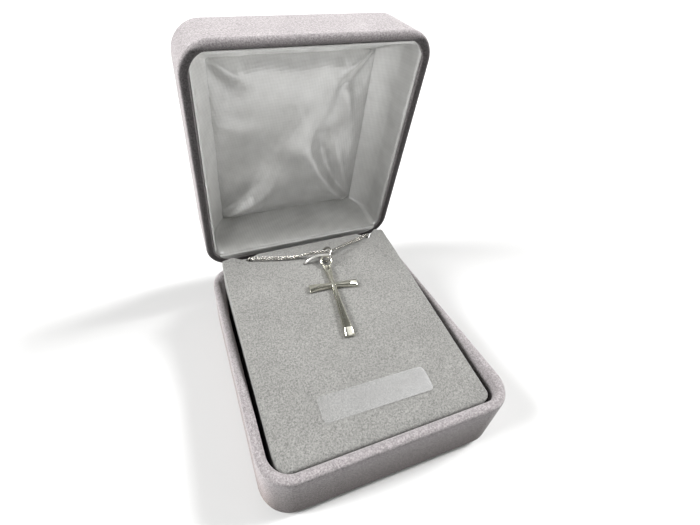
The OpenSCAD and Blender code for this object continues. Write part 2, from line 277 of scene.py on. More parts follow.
class Look:
    """A procedural material, with short calls for its nodes."""

    def __init__(self, name):
        self.material = bpy.data.materials.new(name)
        self.material.use_nodes = True
        self.nodes = self.material.node_tree.nodes
        self.links = self.material.node_tree.links
        self.shader = self.nodes["Principled BSDF"]
        self.place = self.nodes.new("ShaderNodeTexCoord").outputs["Object"]

    def set(self, **values):
        """Numbers and colours that are the same all over, by socket name with _ for a space."""
        for name, value in values.items():
            self.shader.inputs[name.replace("_", " ")].default_value = value

    def add(self, kind, **values):
        node = self.nodes.new("ShaderNode" + kind)
        for name, value in values.items():
            socket = node.inputs.get(name.replace("_", " "))
            if socket is None:
                setattr(node, name, value)
            elif isinstance(value, bpy.types.NodeSocket):
                self.links.new(value, socket)
            else:
                socket.default_value = value
        return node

    def noise(self, size, detail=2.0, roughness=0.5, place=None):
        """Noise whose spots are about this size in metres."""
        node = self.add("TexNoise", Scale=1 / size, Detail=detail, Roughness=roughness)
        self.links.new(place or self.place, node.inputs["Vector"])
        return node.outputs["Fac"]

    def along(self, axis, place=None):
        """How far the place is along an axis."""
        return self.add("SeparateXYZ", Vector=place or self.place).outputs[axis]

    def stretched(self, scale, turn=(0, 0, 0)):
        """The place, turned and then stretched along each axis."""
        node = self.add("Mapping", Vector=self.place)
        node.inputs["Rotation"].default_value = [math.radians(a) for a in turn]
        node.inputs["Scale"].default_value = scale
        return node.outputs["Vector"]

    def ramp(self, value, stops):
        """A colour for each value, through (position, colour) stops."""
        node = self.add("ValToRGB")
        self.links.new(value, node.inputs["Fac"])
        elements = node.color_ramp.elements
        while len(elements) < len(stops):
            elements.new(0.5)
        for element, (position, colour) in zip(elements, stops):
            element.position = position
            element.color = (*colour, 1)
        return node.outputs["Color"]

    def tinted(self, colour, tone):
        """One colour times another."""
        node = self.add("MixRGB", blend_type="MULTIPLY", Fac=1.0, Color1=colour, Color2=tone)
        return node.outputs["Color"]

    def math(self, how, a, b=0.0):
        node = self.nodes.new("ShaderNodeMath")
        node.operation = how
        for socket, value in zip(node.inputs, (a, b)):
            if isinstance(value, bpy.types.NodeSocket):
                self.links.new(value, socket)
            else:
                socket.default_value = value
        return node.outputs[0]

    def bump(self, height, depth, strength=1.0, under=None):
        """Relief of this depth in metres, on top of the relief under it."""
        node = self.add("Bump", Strength=strength, Distance=depth, Height=height)
        if under is not None:
            self.links.new(under, node.inputs["Normal"])
        return node.outputs["Normal"]

    def between(self, value, low, high, at_low=0.0, at_high=1.0):
        """at_low where the value is at low or past it, at_high at high or past it, and even between."""
        node = self.add(
            "MapRange", Value=value, From_Min=low, From_Max=high, To_Min=at_low, To_Max=at_high
        )
        return node.outputs["Result"]

    def towards(self, direction):
        """The dot product of a direction in the part's frame and the way that the surface faces."""
        node = self.nodes.new("ShaderNodeVectorMath")
        node.operation = "DOT_PRODUCT"
        self.links.new(self.nodes["Texture Coordinate"].outputs["Normal"], node.inputs[0])
        node.inputs[1].default_value = direction
        return node.outputs["Value"]

    def scaled(self, colour, gain):
        """A colour made this many times as bright."""
        node = self.nodes.new("ShaderNodeVectorMath")
        node.operation = "SCALE"
        self.links.new(colour, node.inputs[0])
        self.links.new(gain, node.inputs["Scale"])
        return node.outputs[0]

    def wire(self, output, socket):
        self.links.new(output, self.shader.inputs[socket])


WHITE = (1, 1, 1)
FLOCK_CLUMP = 0.0004
FLOCK_FIBRE = 0.00012
FLOCK_PATCH = 0.009
FLOCK_RELIEF = 0.00016
# Painted shade on the flock that faces the front: the direction that it is measured along, and how far the
# surface faces along it where the flock is darkest and palest
FRONT_SHADE_AXIS = (0, 1, 0.45)
FRONT_SHADE_SHARE = (-0.8, -0.45)
# Heights at rest: where the painted shade at the foot ends, and where the painted shade on the front
# grows paler under the tray's rim, darker again above it, and paler along the top of the lid's rim
FOOT_SHADE_TOP = 0.017
TRAY_RISE = (0.003, 0.0165)
RIM_FALL = (0.0206, 0.0196)
LID_TOP = (0.0881, 0.0892)


def flock_look(name, dark, pale, edge, foot_shade_colour=WHITE, front_shade_tones=(1.0, 1.0)):
    """Short velvet flock with clumped fibres, and painted sheen: paler where it is seen along the surface.

    It has painted shade low down, and on the front: less so under the tray's rim,
    and not along the top of the open lid.
    """
    look = Look(name)
    clumps = look.noise(FLOCK_CLUMP, detail=4, roughness=0.65)
    fibres = look.noise(FLOCK_FIBRE)
    both = look.math("ADD", look.math("MULTIPLY", clumps, 0.7), look.math("MULTIPLY", fibres, 0.3))
    patches = look.ramp(look.noise(FLOCK_PATCH, detail=3), [(0.3, (0.9, 0.9, 0.9)), (0.7, WHITE)])
    colour = look.tinted(look.ramp(both, [(0.36, dark), (0.64, pale)]), patches)
    height = look.along("Z")
    # Painted shade low down, darker and browner towards the foot
    foot_shade = look.ramp(look.between(height, 0, FOOT_SHADE_TOP), [(0, foot_shade_colour), (1, WHITE)])
    colour = look.tinted(colour, foot_shade)
    # Painted shade on the flock that faces the front, lifted under the tray's rim and along the top of the
    # lid's rim
    darkest_front_shade, front_shade_under_rim = front_shade_tones
    tray_wall = look.math("MULTIPLY", look.between(height, *TRAY_RISE), look.between(height, *RIM_FALL))
    paler = look.math("MULTIPLY", tray_wall, front_shade_under_rim - darkest_front_shade)
    paler = look.math("ADD", paler, look.math("MULTIPLY", look.between(height, *LID_TOP), 1 - darkest_front_shade))
    front = look.between(look.towards(FRONT_SHADE_AXIS), *FRONT_SHADE_SHARE, look.math("ADD", paler, darkest_front_shade))
    # Painted sheen: paler where the surface is seen along it, times the painted shade on the front
    facing = look.add("LayerWeight", Blend=0.5).outputs["Facing"]
    sheen_and_shade = look.math("MULTIPLY", look.between(facing, 0.3, 1, 1, edge), front)
    look.wire(look.scaled(colour, sheen_and_shade), "Base Color")
    look.wire(look.bump(both, FLOCK_RELIEF, 0.7), "Normal")
    look.set(Roughness=0.95, Specular_IOR_Level=0.15, Sheen_Weight=0.12, Sheen_Roughness=0.4)
    return look.material


SATIN_PERIOD = 0.00092
SATIN_SLUB = 0.006
SATIN_WEAVES = (14, -84)
SATIN_THREADS = (9000, 900, 900)
SATIN_THREAD_RELIEF = 0.00004
SATIN_WEAVE_RELIEF = 0.00006
SATIN_LIGHT_GAIN = 0.6
# Painted light on the satin: it is paler on the lid's left and top walls, which face the lit side, and
# towards the mouth of the wall beside the hinge, which faces up to the light. Each has how far the surface
# faces that way where the painted light starts and where it is complete, and the mouth also has the
# places between which it grows.
SATIN_LIT_SIDE = (0.7, 0, -0.7)
SATIN_LIT_FACING = (0.35, 0.68)
SATIN_MOUTH_LIT_FACING = (0.5, 0.8)
SATIN_MOUTH_LIT_Y = (0.047, 0.036)


def satin_look():
    """White satin: fine woven lines, long soft slubs and a silky gloss.

    It has painted light: paler on the lid's left and top walls, and at the mouth of the wall beside the
    hinge.
    """
    look = Look("white_satin")
    slubs = look.noise(SATIN_SLUB, detail=3)
    tone = look.ramp(slubs, [(0.3, (0.49, 0.488, 0.48)), (0.7, (0.58, 0.58, 0.57))])
    lines = []
    for turn in SATIN_WEAVES:
        across = look.along("X", look.stretched((1, 1, 1), (0, turn, 0)))
        lines.append(look.math("SINE", look.math("MULTIPLY", across, 2 * math.pi / SATIN_PERIOD)))
    weave = look.math("ADD", look.math("MULTIPLY", look.math("ADD", *lines), 0.25), 0.5)
    tone = look.tinted(tone, look.ramp(weave, [(0.2, (0.95, 0.95, 0.95)), (0.8, WHITE)]))
    # Painted light: paler where the walls face the lit side, and at the mouth of the wall beside the hinge
    upward = look.between(look.towards((0, 0, 1)), *SATIN_MOUTH_LIT_FACING)
    mouth_light = look.math("MULTIPLY", look.between(look.along("Y"), *SATIN_MOUTH_LIT_Y), upward)
    pale = look.math("ADD", mouth_light, look.between(look.towards(SATIN_LIT_SIDE), *SATIN_LIT_FACING))
    gain = look.math("ADD", look.math("MULTIPLY", pale, SATIN_LIGHT_GAIN), 1.0)
    look.wire(look.scaled(tone, gain), "Base Color")
    threads = look.noise(1.0, place=look.stretched(SATIN_THREADS))
    under = look.bump(threads, SATIN_THREAD_RELIEF, 0.5)
    look.wire(look.bump(weave, SATIN_WEAVE_RELIEF, 0.6, under), "Normal")
    look.set(Roughness=0.36, Sheen_Weight=0.2, Sheen_Roughness=0.3, Specular_IOR_Level=0.6)
    look.set(Anisotropic=0.4, Metallic=0.35)
    return look.material


TARNISH_PATCH = 0.002
SCRATCHES = (9000, 700, 700)
SCRATCH_TURN = 35
SCRATCH_DEPTH = 0.000004


def metal_look(name, colour, roughness, dull_colour, dull_roughness):
    """Polished metal with faint scratches and a thin film of tarnish."""
    look = Look(name)
    tarnish = look.noise(TARNISH_PATCH, detail=4)
    scratches = look.noise(1.0, detail=3, place=look.stretched(SCRATCHES, (0, 0, SCRATCH_TURN)))
    look.wire(look.ramp(tarnish, [(0.35, dull_colour), (0.65, colour)]), "Base Color")
    look.wire(look.between(tarnish, 0, 1, dull_roughness, roughness), "Roughness")
    look.wire(look.bump(scratches, SCRATCH_DEPTH, 0.35), "Normal")
    look.set(Metallic=1.0)
    return look.material


FILM_CLOUD = 0.004
FILM_HAZE = (0.1, 0.24)
FILM_GLARE = (0.75, 1.6)
FILM_HALF = 0.015
FILM_RELIEF = 0.00002


def film_look():
    """Clear glossy film with a faint grey tint, cloudy in places, and with painted glare that grows
    towards the right.
    """
    look = Look("clear_film")
    cloud = look.noise(FILM_CLOUD, detail=3)
    # Painted glare: the film shows more towards the right
    glare = look.between(look.along("X"), -FILM_HALF, FILM_HALF, *FILM_GLARE)
    look.wire(look.math("MULTIPLY", look.between(cloud, 0, 1, *FILM_HAZE), glare), "Alpha")
    look.wire(look.bump(cloud, FILM_RELIEF, 0.4), "Normal")
    look.set(Base_Color=(0.42, 0.42, 0.42, 1), Roughness=0.16, IOR=1.5)
    return look.material


# Its last two numbers are painted shade: the colour at the foot, and the darkest front tone and that under
# the tray's rim
mauve_flock = flock_look(
    "mauve_flock", (0.125, 0.115, 0.117), (0.335, 0.312, 0.317), 1.5, (0.78, 0.70, 0.65), (0.26, 0.57)
)
grey_flock = flock_look("grey_flock", (0.097, 0.096, 0.092), (0.256, 0.254, 0.243), 1.4)
satin = satin_look()
# The chain and the jump ring are the same silver as the cross, made darker as painted shade, and rougher
shaded_silver = metal_look("shaded_silver", (0.43, 0.42, 0.39), 0.19, (0.30, 0.29, 0.27), 0.27)
silver = metal_look("polished_silver", (0.74, 0.73, 0.65), 0.1, (0.64, 0.63, 0.55), 0.17)
wire_silver = metal_look("wire_silver", (0.93, 0.91, 0.89), 0.3, (0.84, 0.82, 0.80), 0.38)
steel = metal_look("plated_steel", (0.62, 0.63, 0.64), 0.28, (0.45, 0.46, 0.47), 0.42)
film = film_look()


# CAD nodes whose shape is right, with better materials

def dress(node, look):
    materials = frame["nodes"][node].data.materials
    materials.clear()
    materials.append(look)


for shell in ("tray", "lid_shell"):
    dress(shell, mauve_flock)
for hinge_part in ("hinge_leaf_base", "hinge_leaf_lid", "hinge_pin"):
    dress(hinge_part, steel)
dress("clasp", silver)


# Pad: flocked card, folded at its edges, cut at the back corners for the chain

SLIT_LIP = 0.0005
SLIT_LIP_AT = -0.0006
SLIT_LIP_WIDTH = 0.0007
SLIT_SAG = 0.0011
SLIT_SAG_REACH = 0.0008
SLIT_CORNER_R = 0.0002
PAD_WAVE = 0.00012
# Rows of points on the card: places near the two ends, then the step between the others. Across
# the card they are shares of its half width.
PAD_ROW_ENDS = [0, 0.0001, 0.0003, 0.0006, 0.001, 0.0016]
PAD_ROW_STEP = 0.0007
PAD_ACROSS_ENDS = [0, 0.004, 0.01, 0.02, 0.034, 0.055]
PAD_ACROSS_STEP = 0.026
PAD_SIDE_LEVELS = 4
HOLE_POINTS = 24
SLIVER = 0.00001


def near_edges(low, high, step, ends):
    """Places from low to high, close together near both ends."""
    middle = np.arange(low + ends[-1], high - ends[-1], step)
    return np.concatenate([[low + e for e in ends], middle[1:], [high - e for e in ends[::-1]]])


def pad_relief(x, y):
    """Height of the card's top over its plane: a faint wave, and the lip and sagged side of each slit."""
    height = PAD_WAVE * np.sin(x / 0.011 + 0.6) * np.sin(y / 0.017 + 1.1)
    along_slope = (y - pad_low.y) / math.cos(PAD_SLOPE)
    for middle_x, middle_up, turn, _, _ in SLITS:
        c, s = math.cos(math.radians(turn)), math.sin(math.radians(turn))
        dx, dy = x - middle_x * MM, along_slope - middle_up * MM
        along = dx * c + dy * s
        behind = dy * c - dx * s
        near = 1 - smooth_step(np.abs(along), 0.3 * SLIT_LENGTH, 0.62 * SLIT_LENGTH)
        lip = SLIT_LIP * np.exp(-((behind - SLIT_LIP_AT) / SLIT_LIP_WIDTH) ** 2)
        sag = SLIT_SAG * smooth_step(behind, 0, SLIT_SAG_REACH)
        height = height + near * np.where(behind < 0, lip, -sag)
    return height


def corner_cut(radius, from_end):
    """How far a rounded corner lies inside the side, this far from the end of the card."""
    if from_end >= radius:
        return 0
    return radius - math.sqrt(radius ** 2 - (radius - from_end) ** 2)


def pad_top():
    """Grid of points on the card's top: across, towards the back and up."""
    across = near_edges(-1, 1, PAD_ACROSS_STEP, PAD_ACROSS_ENDS)
    rows = []
    for y in near_edges(pad_low.y, pad_high.y, PAD_ROW_STEP, PAD_ROW_ENDS):
        cut = corner_cut(PAD_FRONT_R, y - pad_low.y) or corner_cut(PAD_BACK_R, pad_high.y - y)
        left, right = pad_low.x + cut, pad_high.x - cut
        x = (left + right) / 2 + across * (right - left) / 2
        rows.append(np.column_stack([x, np.full(len(x), y)]))
    x, y = np.moveaxis(np.array(rows), 2, 0)
    from_side = np.minimum(x - pad_low.x, pad_high.x - x)
    from_edge = np.minimum(from_side, np.minimum(y - pad_low.y, pad_high.y - y))
    fold = PAD_FOLD_R - np.clip(from_edge, 0, PAD_FOLD_R)
    drop = PAD_FOLD_R - np.sqrt(PAD_FOLD_R ** 2 - fold ** 2)
    z = PAD_FRONT_Z + (y - pad_low.y) * math.tan(PAD_SLOPE) - drop + pad_relief(x, y)
    return x, y, z


def build_pad():
    x, y, z = pad_top()
    top = np.column_stack([x.ravel(), y.ravel(), z.ravel()])
    faces = grid_faces(*x.shape)
    above = grid_rim(*x.shape)
    rim = top[above]
    levels = [top]
    for level in range(PAD_SIDE_LEVELS):
        ring = rim.copy()
        ring[:, 2] += (pad_low.z - ring[:, 2]) * (level + 1) / PAD_SIDE_LEVELS
        levels.append(ring)
        first = len(top) + level * len(rim)
        below = list(range(first, first + len(rim)))
        faces += skirt_faces(above, below)
        above = below
    mesh = outward_mesh("pad_card", np.vstack(levels), faces, open_up=True)
    pad = make_piece(mesh, grey_flock, BASE, "pad")
    card = pad.modifiers.new("card", "SOLIDIFY")
    card.thickness = PAD_CARD
    card.offset = -1
    work_in_modifiers(pad)
    for middle_x, middle_up, turn, hole_x, hole_up in SLITS:
        cut_away(pad, slit_cutter(middle_x * MM, middle_up * MM, turn))
        cut_away(pad, hole_cutter(hole_x * MM, hole_up * MM, CHAIN_HOLE_R))
    for hole_x, hole_up in STAPLE_HOLES:
        cut_away(pad, hole_cutter(hole_x * MM, hole_up * MM, STAPLE_HOLE_R))
    work = bmesh.new()
    work.from_mesh(pad.data)
    bmesh.ops.dissolve_degenerate(work, edges=work.edges, dist=SLIVER)
    work.to_mesh(pad.data)
    work.free()
    shade(pad.data, 50)


def slit_cutter(x, up, turn):
    half_length, half_width = SLIT_LENGTH / 2, SLIT_WIDTH / 2
    outline = rounded_loop(-half_length, half_length, -half_width, half_width, SLIT_CORNER_R, 3, 1)
    place = Matrix.Translation((x, up, 0)) @ Matrix.Rotation(math.radians(turn), 4, "Z")
    return upright_cutter(outline, place)


def hole_cutter(x, up, radius):
    turn = np.linspace(0, 2 * math.pi, HOLE_POINTS, endpoint=False)
    outline = radius * np.column_stack([np.cos(turn), np.sin(turn)])
    return upright_cutter(outline, Matrix.Translation((x, up, 0)))


def upright_cutter(outline, place):
    """Closed shape of an outline that goes right through the card at a place on it."""
    rings = [np.column_stack([outline, np.full(len(outline), z)]) for z in (-4 * PAD_CARD, 3 * PAD_CARD)]
    points, faces = skin(rings, caps=True)
    return outward_mesh("cutter", moved(on_pad @ place, points), faces)


def cut_away(piece, cutter_mesh):
    """Takes a closed shape out of a piece."""
    cutter = plain_object("cutter", cutter_mesh)
    cut = piece.modifiers.new("cut", "BOOLEAN")
    cut.operation = "DIFFERENCE"
    cut.solver = "MANIFOLD"
    cut.object = cutter
    work_in_modifiers(piece)
    bpy.data.objects.remove(cutter)


build_pad()


# Label: clear rounded film on the pad, faintly wavy

LABEL_SIZE = (0.030, 0.0064)
LABEL_AT = (-0.0006, 0.0099)
LABEL_TURN = -1
LABEL_R = 0.0012
LABEL_GAP = 0.00022
LABEL_T = 0.00012
LABEL_WAVE_ALONG = 0.00008
LABEL_WAVE_ACROSS = 0.00006
# Rings of points from the underside's edge to the middle of the top, as shares of the label's size
LABEL_RINGS = [(1, 0), (1, LABEL_T), (0.9, LABEL_T), (0.5, LABEL_T), (0.2, LABEL_T), (0.05, LABEL_T)]


def build_label():
    half_length, half_width = LABEL_SIZE[0] / 2, LABEL_SIZE[1] / 2
    rings = []
    for share, z in LABEL_RINGS:
        x, y = half_length - (1 - share) * half_width, half_width * share
        loop = rounded_loop(-x, x, -y, y, LABEL_R * share, 6, 16)
        rings.append(np.column_stack([loop, np.full(len(loop), z)]))
    points, faces = skin(rings, caps=True)
    waves = LABEL_WAVE_ALONG * np.sin(points[:, 0] / 0.006)
    waves = waves + LABEL_WAVE_ACROSS * np.cos(points[:, 1] / 0.0014)
    points[:, 2] += LABEL_GAP + waves
    place = on_pad @ Matrix.Translation((*LABEL_AT, 0)) @ Matrix.Rotation(math.radians(LABEL_TURN), 4, "Z")
    mesh = outward_mesh("label_film", moved(place, points), faces)
    make_piece(mesh, film, BASE, "label", sharp=40)


build_label()


# Cross: flat underneath, with wide bevels along its top and a sloping facet at each tip. Its shape
# is in millimetres.

CROSS_AT = (0.00115, 0.0431, 0.0002)
CROSS_TURN = -6.3
# Each arm's length, the width of its tip and how far its top is crowned: up, right, down and left
CROSS_ARMS = [(7.6, 2.7, 0), (7.5, 2.6, 0.05), (17.1, 3.1, 0.01), (7.5, 2.6, 0)]
CROSS_WAIST = 1.3
CROSS_T = 1.5
CROSS_TIP_T = 0.95
FACET_LENGTH = 2.3
FLARE_POWER = 1.7
EDGE_BEVEL = 0.38
WAIST_BEVEL = 0.8 * EDGE_BEVEL
BEVEL_GROWS_TO = 4
CROWN_GROWS_TO = 2.5
HALF_WAIST = CROSS_WAIST / 2
INNER_WAIST = HALF_WAIST - WAIST_BEVEL
EYELET_D = 4.0
EYELET_WIRE = 0.7
EYELET_TILT = 15
SOLDER = 0.15
SOFT_EDGE = 0.06
SOFTENED_FROM = math.radians(11)


def cross_arm(length, tip, crown):
    """One arm along Y in millimetres, open where it meets the others."""
    facet = length - FACET_LENGTH
    stations = [HALF_WAIST, *np.linspace(HALF_WAIST, facet, 14)[1:], *np.linspace(facet, length, 6)[1:]]
    rings = []
    for i, s in enumerate(stations):
        half = (CROSS_WAIST + (tip - CROSS_WAIST) * (s / length) ** FLARE_POWER) / 2 if i else HALF_WAIST
        bevel = WAIST_BEVEL + (EDGE_BEVEL - WAIST_BEVEL) * smooth_step(s, HALF_WAIST, BEVEL_GROWS_TO)
        top = CROSS_T - (CROSS_T - CROSS_TIP_T) * max(0, (s - facet) / FACET_LENGTH)
        back = s if i else INNER_WAIST
        middle = top + crown * smooth_step(s, HALF_WAIST, CROWN_GROWS_TO)
        rings.append([
            (half, s, 0), (half, s, top - bevel), (half - bevel, back, top), (0, back, middle),
            (bevel - half, back, top), (-half, s, top - bevel), (-half, s, 0),
        ])
    points, faces = skin(rings)
    around = len(rings[-1])
    faces.append(tuple(range(len(points) - around, len(points))))
    return points, faces


def cross_middle():
    """The star of faces on the cross's top, and the square underneath, where the arms meet."""
    corner, side = Vector((-INNER_WAIST, INNER_WAIST, CROSS_T)), Vector((0, INNER_WAIST, CROSS_T))
    star = []
    for quarter in range(4):
        turn = Matrix.Rotation(-quarter * math.pi / 2, 4, "Z")
        star += [tuple(turn @ corner), tuple(turn @ side)]
    around = len(star)
    star.append((0, 0, CROSS_T))
    w = HALF_WAIST
    square = [(w, w, 0), (w, -w, 0), (-w, -w, 0), (-w, w, 0)]
    return [(star, [(around, k, (k + 1) % around) for k in range(around)]), (square, [(0, 1, 2, 3)])]


def build_cross():
    parts = []
    for quarter, arm in enumerate(CROSS_ARMS):
        points, faces = cross_arm(*arm)
        parts.append((moved(Matrix.Rotation(-quarter * math.pi / 2, 4, "Z"), points), faces))
    parts += cross_middle()
    ring_r = (EYELET_D - EYELET_WIRE) / 2
    place = (
        Matrix.Translation((0, CROSS_ARMS[0][0] - SOLDER, CROSS_T / 2))
        @ Matrix.Rotation(math.radians(EYELET_TILT), 4, "X")
        @ Matrix.Translation((0, ring_r, 0))
    )
    ring_points, ring_faces = torus(ring_r, EYELET_WIRE / 2, 56, 16)
    points, faces = joined([*parts, (moved(place, ring_points), ring_faces)])
    place = on_pad @ Matrix.Translation(CROSS_AT) @ Matrix.Rotation(math.radians(CROSS_TURN), 4, "Z")
    mesh = outward_mesh("flared_cross", moved(place, points * MM), faces, weld=1e-7)
    cross = make_piece(mesh, silver, BASE, "cross")
    soften = cross.modifiers.new("soft_edges", "BEVEL")
    soften.width = SOFT_EDGE * MM
    soften.segments = 2
    soften.limit_method = "ANGLE"
    soften.angle_limit = SOFTENED_FROM
    work_in_modifiers(cross)
    shade(cross.data, 20)


build_cross()


# Jump ring round the chain, and the wire that pins it to the pad

RING_AT = (0.0029, 0.0539)
RING_D = 0.0052
RING_WIRE = 0.0008
RING_LEAN = 27
RING_LIFT = 0.00005
WIRE_D = 0.00075
WIRE_ROUTE = [
    (-4.1, 53.9, -2.6), (-4.1, 53.9, -1), (-4.0, 53.9, 0), (-3.5, 53.95, 0.9),
    (-2.4, 54.05, 1.7), (-1, 54.1, 2.3), (0.4, 53.95, 2.75), (1.6, 53.6, 3),
    (2.6, 53.3, 3.05), (3.3, 53.2, 2.9), (3.9, 53.25, 2.6), (4.4, 53.3, 1.9),
    (4.6, 53.3, 1), (4.6, 53.3, 0), (4.6, 53.3, -1.2), (4.6, 53.3, -2.6),
]


def build_jump_ring():
    ring_r = (RING_D - RING_WIRE) / 2
    height = RING_LIFT + RING_WIRE / 2 + ring_r * math.cos(math.radians(RING_LEAN))
    turn = Matrix.Rotation(math.radians(90 + RING_LEAN), 4, "Y")
    place = on_pad @ Matrix.Translation((*RING_AT, height)) @ turn
    points, faces = torus(ring_r, RING_WIRE / 2, 64, 16)
    mesh = outward_mesh("open_jump_ring", moved(place, points), faces)
    make_piece(mesh, shaded_silver, BASE, "jump_ring")


def build_holding_wire():
    path = moved(on_pad, smooth_path(np.array(WIRE_ROUTE) * MM, 6))
    mesh = outward_mesh("pinning_wire", *tube(path, WIRE_D / 2, 14))
    make_piece(mesh, wire_silver, BASE, "holding_wire", sharp=40)


build_jump_ring()
build_holding_wire()


# Chain: curb links, each twisted a quarter turn so that it lies flat in the next

CHAIN_WIDTH = 0.0014
LINK_WIRE = 0.00034
LINK_PITCH = 0.001
LINK_TWIST = 45
LINK_POINTS = 14
LINK_SIDES = 6
# Routes in millimetres, as in the CAD source: from the clasp to the right slit, over the pad
# as place across, place up the slope and height, then from the left slit to the clasp
CHAIN_FIRST = [
    (4.36, -28.4, 3), (10, -28.6, 3), (17, -28.6, 3), (21.5, -27.2, 3), (24.4, -23.6, 3),
    (25.2, -18, 3), (25.2, -8, 3), (25.2, 2, 3), (25.2, 12, 3), (24.9, 18, 3),
    (22.6, 22.6, 3), (18, 24.9, 3), (9, 25.3, 3), (-2, 25.3, 3), (-13, 25.3, 3),
    (-19, 24.6, 3), (-23.2, 21.6, 3), (-25, 16.4, 3), (-25.2, 7, 3), (-25.2, -4, 3),
    (-25.2, -14, 3), (-24.4, -19.6, 3), (-21.4, -23.3, 3), (-16, -24.6, 3), (-6, -24.6, 3),
    (5, -24.6, 3), (14, -24.6, 3), (19.4, -23, 3), (22.4, -19.2, 3), (23.2, -13, 3),
    (23.4, -4, 3), (23.4, 3, 3.4), (23.2, 8, 5.4), (22.8, 12.5, 9), (22.2, 17, 14),
    (21.6, 21, 19), (21.1, 24.2, 23.4),
]
CHAIN_MIDDLE = [
    (20.9, 60.1, -1.3), (20.8, 60.1, 0.1), (20, 59.7, 0.8), (18, 59.0, 1.15),
    (15, 57.95, 1.55), (12, 57.0, 1.95), (9.2, 56.1, 2.3), (6.8, 55.35, 2.6), (4.9, 54.8, 2.85),
    (3.2, 54.5, 3), (1.6, 54.9, 2.85), (-0.2, 55.5, 2.4), (-2.6, 56.2, 1.65),
    (-5.4, 56.8, 0.95), (-8.5, 57.2, 0.65), (-12, 57.9, 0.55), (-15.5, 58.7, 0.55),
    (-18, 59.3, 0.6), (-20, 59.9, 0.7), (-20.8, 60.2, 0.1), (-20.9, 60.2, -1.3),
]
CHAIN_LAST = [
    (-22.2, 24.4, 23.4), (-23.2, 21.6, 18.4), (-24.6, 17.6, 12.6), (-26, 13, 7.4),
    (-26.9, 8, 4.2), (-27.1, 2, 3.1), (-27.1, -8, 3), (-27.1, -17, 3), (-26.2, -22.4, 3),
    (-23.2, -26.6, 3), (-18, -28.5, 3), (-10, -28.6, 3), (-4.36, -28.4, 3),
]
# How far the chain is rolled from flat over the pad: place across in millimetres, then degrees
CHAIN_ROLL = [(-25, 0), (-7, 0), (-4, 70), (2, 90), (6, 55), (10, 12), (25, 0)]
# How far the links beside the clasp are rolled, in degrees, and how far from it that goes
CLASP_ROLL = 76
CLASP_REACH = 2 * LINK_PITCH
# The most that a link is rolled against the one before it, and how steeply the first one faces up
ROLL_STEP = math.radians(14)
FIRST_LINK_TILT = math.radians(75)
# Points on the chain's path for each stretch of its route
CHAIN_STEPS = 10


def link_shape():
    """Rings of points round one link's wire, with the chain running along X."""
    half_length = (LINK_PITCH + LINK_WIRE) / 2
    half_width = (CHAIN_WIDTH - LINK_WIRE) / 2

    def centre(t):
        lean = -math.radians(LINK_TWIST) * math.cos(t)
        across = half_width * math.sin(t)
        return np.array([half_length * math.cos(t), across * math.cos(lean), across * math.sin(lean)])

    roll = np.linspace(0, 2 * math.pi, LINK_SIDES, endpoint=False)
    rings = []
    for t in np.linspace(0, 2 * math.pi, LINK_POINTS, endpoint=False):
        here = centre(t)
        along = unit(centre(t + 0.01) - centre(t - 0.01))
        out = unit(here - along * (here @ along))
        up = np.cross(along, out)
        rings.append(here + LINK_WIRE / 2 * (np.outer(np.cos(roll), out) + np.outer(np.sin(roll), up)))
    return skin(rings, wrap=True)


def rolled(up, target, along):
    """The link's up direction turned about the chain towards a target, by no more than one step."""
    off = math.atan2(np.cross(up, target) @ along, up @ target)
    turn = np.clip(off, -ROLL_STEP, ROLL_STEP)
    return up * math.cos(turn) + np.cross(along, up) * math.sin(turn)


def build_chain():
    over_pad = moved(on_pad, np.array(CHAIN_MIDDLE) * MM)
    route = np.vstack([np.array(CHAIN_FIRST) * MM, over_pad, np.array(CHAIN_LAST) * MM])
    path = smooth_path(route, CHAIN_STEPS)
    length = np.concatenate([[0], np.cumsum(np.linalg.norm(np.diff(path, axis=0), axis=1))])
    stops = np.linspace(0, length[-1], round(length[-1] / LINK_PITCH) + 1)
    middles = np.column_stack([np.interp(stops, length, path[:, k]) for k in range(3)])
    pad_from = length[(len(CHAIN_FIRST) + 1) * CHAIN_STEPS]
    pad_to = length[(len(CHAIN_FIRST) + len(over_pad) - 2) * CHAIN_STEPS]
    pad_up = np.array(on_pad.to_3x3().col[2])
    floor_up = np.array([0, 0, 1.0])
    roll_x, roll_by = np.array(CHAIN_ROLL, float).T
    link_points, link_faces = link_shape()
    up = np.array([0, math.cos(FIRST_LINK_TILT), math.sin(FIRST_LINK_TILT)])
    parts = []
    for middle, step, stop in zip(middles, np.gradient(middles, axis=0), stops):
        along = unit(step)
        up = unit(up - along * (up @ along))
        if pad_from < stop < pad_to:
            wanted, roll = pad_up, np.interp(middle[0] / MM, roll_x, roll_by)
        elif stop < CLASP_REACH or stop > length[-1] - CLASP_REACH:
            wanted, roll = floor_up, CLASP_ROLL
        else:
            wanted, roll = floor_up, 0
        flat = wanted - along * (wanted @ along)
        if np.linalg.norm(flat) > 0.5:
            flat = unit(flat)
            lean = math.radians(roll)
            up = rolled(up, flat * math.cos(lean) + np.cross(along, flat) * math.sin(lean), along)
        place = np.column_stack([along, np.cross(up, along), up])
        parts.append((link_points @ place.T + middle, link_faces))
    mesh = outward_mesh("curb_chain", *joined(parts))
    make_piece(mesh, shaded_silver, BASE, "chain")


build_chain()


# Satin lining of the lid: four covered walls that slant in to the padded panel. Depths and the lip's
# measures are in millimetres.

LINING_T = 0.00072
# Depth from the rim, then the inset at the sides, at the hinge and at the front, and the corner radius
LINING_ROWS = [
    (0.6, 3.3, 4.4, 3.3, 3.0),
    (8.9, 3.3, 5.2, 5.0, 2.0),
    (12.5, 5.2, 6.2, 6.8, 1.2),
    (15.8, 8.1, 7.2, 8.9, 0.6),
]
